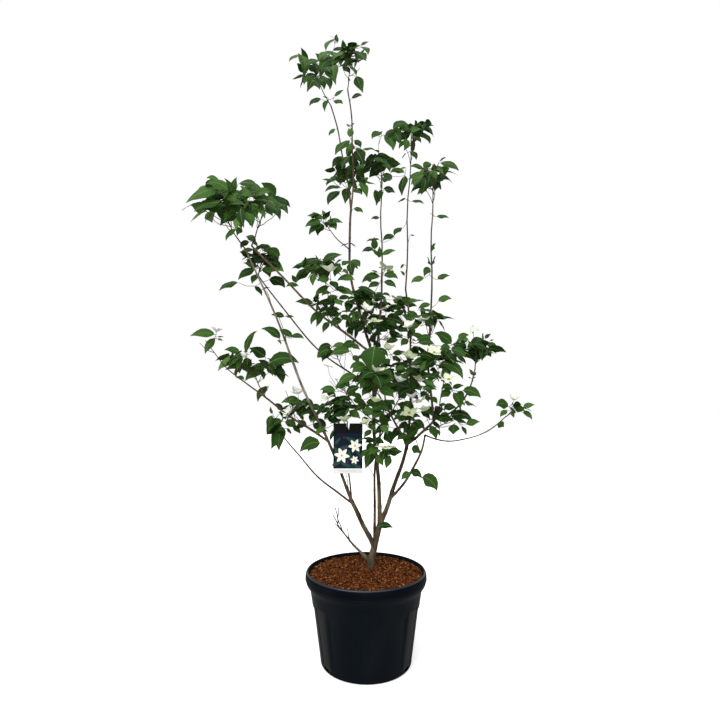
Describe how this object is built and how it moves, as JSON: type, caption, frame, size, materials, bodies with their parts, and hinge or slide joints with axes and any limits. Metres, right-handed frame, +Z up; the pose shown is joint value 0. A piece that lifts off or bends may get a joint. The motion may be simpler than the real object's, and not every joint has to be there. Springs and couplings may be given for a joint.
{
  "type": "potted kousa dogwood",
  "caption": "Several-stemmed kousa dogwood in leaf and flower in its dark round nursery container, with bark mulch and a picture tag.",
  "frame": {"origin": "middle of the pot's flat underside", "axes": "+Z up along the plant, -Y towards the side the picture shows, +X to that view's right"},
  "size_m": [1.748, 1.192, 3.3563],
  "materials": {
    "pot_plastic": "satin, dark navy black",
    "compost": "matt, loose",
    "mulch": "matt bark chips",
    "bark": "matt bark",
    "shoot_bark": "matt young bark",
    "dead_wood": "matt, dry",
    "foliage": "satin leaves",
    "tag_plastic": "smooth printed plastic"
  },
  "bodies": {
    "root": {"pot": "pot_plastic", "root_ball": "compost", "bark_mulch": "mulch", "trunk": "bark", "left_stem": "bark", "centre_stem": "bark", "right_stem": "bark", "back_stem": "bark", "dead_shoot": "dead_wood", "left_leader": "bark", "left_low_shoot": "shoot_bark", "tag_shoot": "shoot_bark", "left_low_branch": "shoot_bark", "right_inner": "shoot_bark", "right_outer": "bark", "right_low": "shoot_bark", "far_right_arch": "shoot_bark", "right_reach": "shoot_bark", "tall_right_stem": "shoot_bark", "tall_middle_stem": "shoot_bark", "upright_stem": "shoot_bark", "main_leader": "shoot_bark", "top_left_stem": "shoot_bark", "top_right_stem": "shoot_bark", "left_arch": "shoot_bark", "thin_left_arch": "shoot_bark", "picture_tag": "tag_plastic", "top_left_spray": "foliage", "top_right_spray": "foliage", "upper_middle_spray": "foliage", "upright_spray": "foliage", "tall_middle_spray": "foliage", "tall_right_spray": "foliage", "canopy_front": "foliage", "canopy_back": "foliage", "canopy_tuft": "foliage", "slender_spray": "foliage", "middle_left_upper": "foliage", "middle_left_lower": "foliage", "middle_crown": "foliage", "middle_right_upper": "foliage", "middle_right_front": "foliage", "right_shoulder": "foliage", "right_tip": "foliage", "far_right_tip": "foliage", "right_fringe": "foliage", "heart_left": "foliage", "heart_right": "foliage", "heart_centre": "foliage", "front_low": "foliage", "left_low": "foliage", "left_outer": "foliage", "left_far_tip": "foliage", "left_hanging": "foliage", "low_centre": "foliage", "low_right": "foliage", "back_upper": "foliage", "back_left": "foliage", "back_right": "foliage"}
  },
  "joints": []
}
